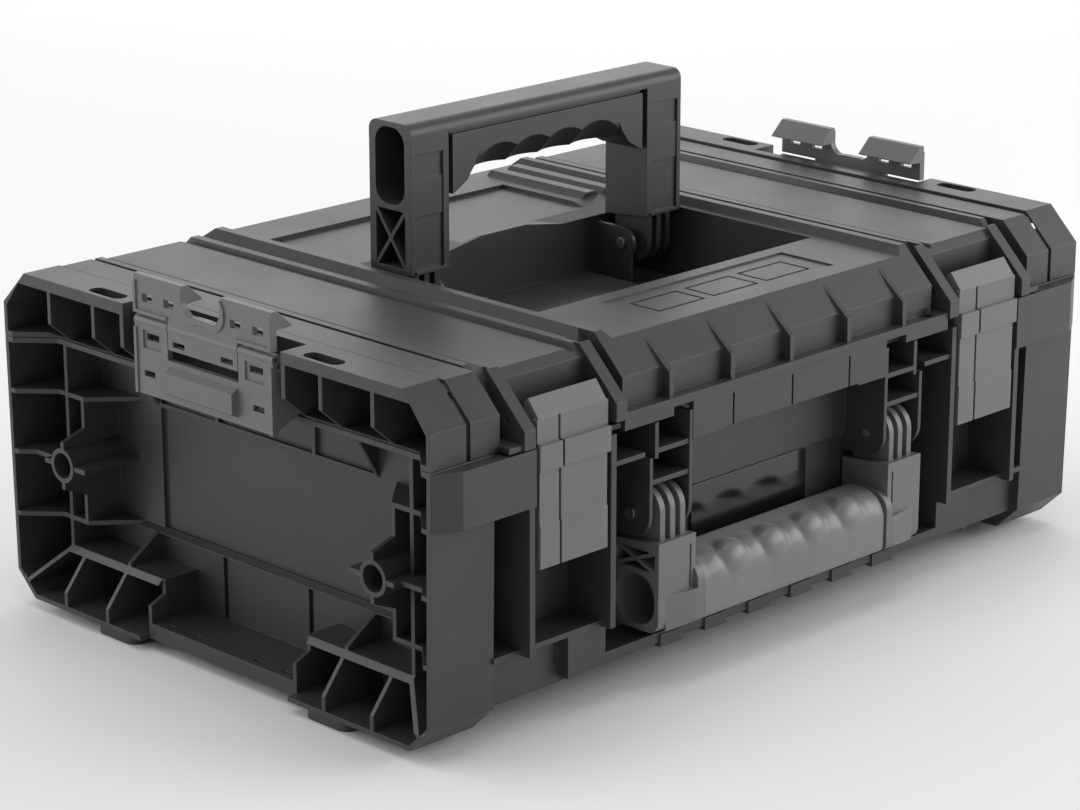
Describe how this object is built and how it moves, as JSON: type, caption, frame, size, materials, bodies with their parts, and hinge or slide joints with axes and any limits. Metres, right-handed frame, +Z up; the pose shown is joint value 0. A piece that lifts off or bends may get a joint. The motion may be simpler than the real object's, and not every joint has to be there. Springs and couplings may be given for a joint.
{
  "type": "hard tool case",
  "caption": "Ribbed plastic tool case with a hinged lid, pull latches, a folding top handle, a hanging front handle and stacking clips.",
  "frame": {"origin": "centre of the footprint, at the level of the feet's undersides", "axes": "+X along the case, the front with the latches faces -Y, +Z up"},
  "size_m": [0.447, 0.3114, 0.2335],
  "materials": {
    "case_plastic": "fine textured matte",
    "trim_plastic": "satin",
    "grip_rubber": "soft satin",
    "label_gloss": "gloss",
    "pin_steel": "satin steel"
  },
  "bodies": {
    "base": {"base_shell": "case_plastic", "label_plate": "label_gloss", "front_handle_pin_left": "pin_steel", "front_handle_pin_right": "pin_steel", "hinge_pin_left": "pin_steel", "hinge_pin_right": "pin_steel"},
    "lid": {"lid_shell": "case_plastic", "latch_pin_left": "pin_steel", "latch_pin_right": "pin_steel", "top_handle_pin_left": "pin_steel", "top_handle_pin_right": "pin_steel", "clip_plate_left": "trim_plastic", "clip_plate_right": "trim_plastic", "clip_pin_left": "pin_steel", "clip_pin_right": "pin_steel"},
    "latch_left": {"latch_left": "trim_plastic"},
    "latch_right": {"latch_right": "trim_plastic"},
    "top_handle": {"top_handle": "case_plastic", "top_handle_grip": "grip_rubber"},
    "front_handle": {"front_handle": "trim_plastic", "front_handle_grip": "grip_rubber"},
    "stack_clip_left": {"stack_clip_left": "trim_plastic"},
    "stack_clip_right": {"stack_clip_right": "trim_plastic"}
  },
  "joints": [
    {"name": "lid_hinge", "type": "hinge", "parent": "base", "child": "lid", "pos_m": [0, 0.1502, 0.1325], "axis": [-1, 0, 0], "range_deg": [0, 105]},
    {"name": "latch_left_pull", "type": "hinge", "parent": "lid", "child": "latch_left", "pos_m": [-0.142, -0.141, 0.144], "axis": [-1, 0, 0], "range_deg": [0, 100]},
    {"name": "latch_right_pull", "type": "hinge", "parent": "lid", "child": "latch_right", "pos_m": [0.142, -0.141, 0.144], "axis": [-1, 0, 0], "range_deg": [0, 100]},
    {"name": "top_handle_fold", "type": "hinge", "parent": "lid", "child": "top_handle", "pos_m": [0, 0.018, 0.1475], "axis": [1, 0, 0], "range_deg": [0, 90]},
    {"name": "front_handle_swing", "type": "hinge", "parent": "base", "child": "front_handle", "pos_m": [0, -0.1386, 0.0835], "axis": [-1, 0, 0], "range_deg": [0, 90]},
    {"name": "stack_clip_left_fold", "type": "hinge", "parent": "lid", "child": "stack_clip_left", "pos_m": [-0.2178, 0, 0.16], "axis": [0, -1, 0], "range_deg": [0, 100]},
    {"name": "stack_clip_right_fold", "type": "hinge", "parent": "lid", "child": "stack_clip_right", "pos_m": [0.2178, 0, 0.16], "axis": [0, 1, 0], "range_deg": [0, 100]}
  ]
}
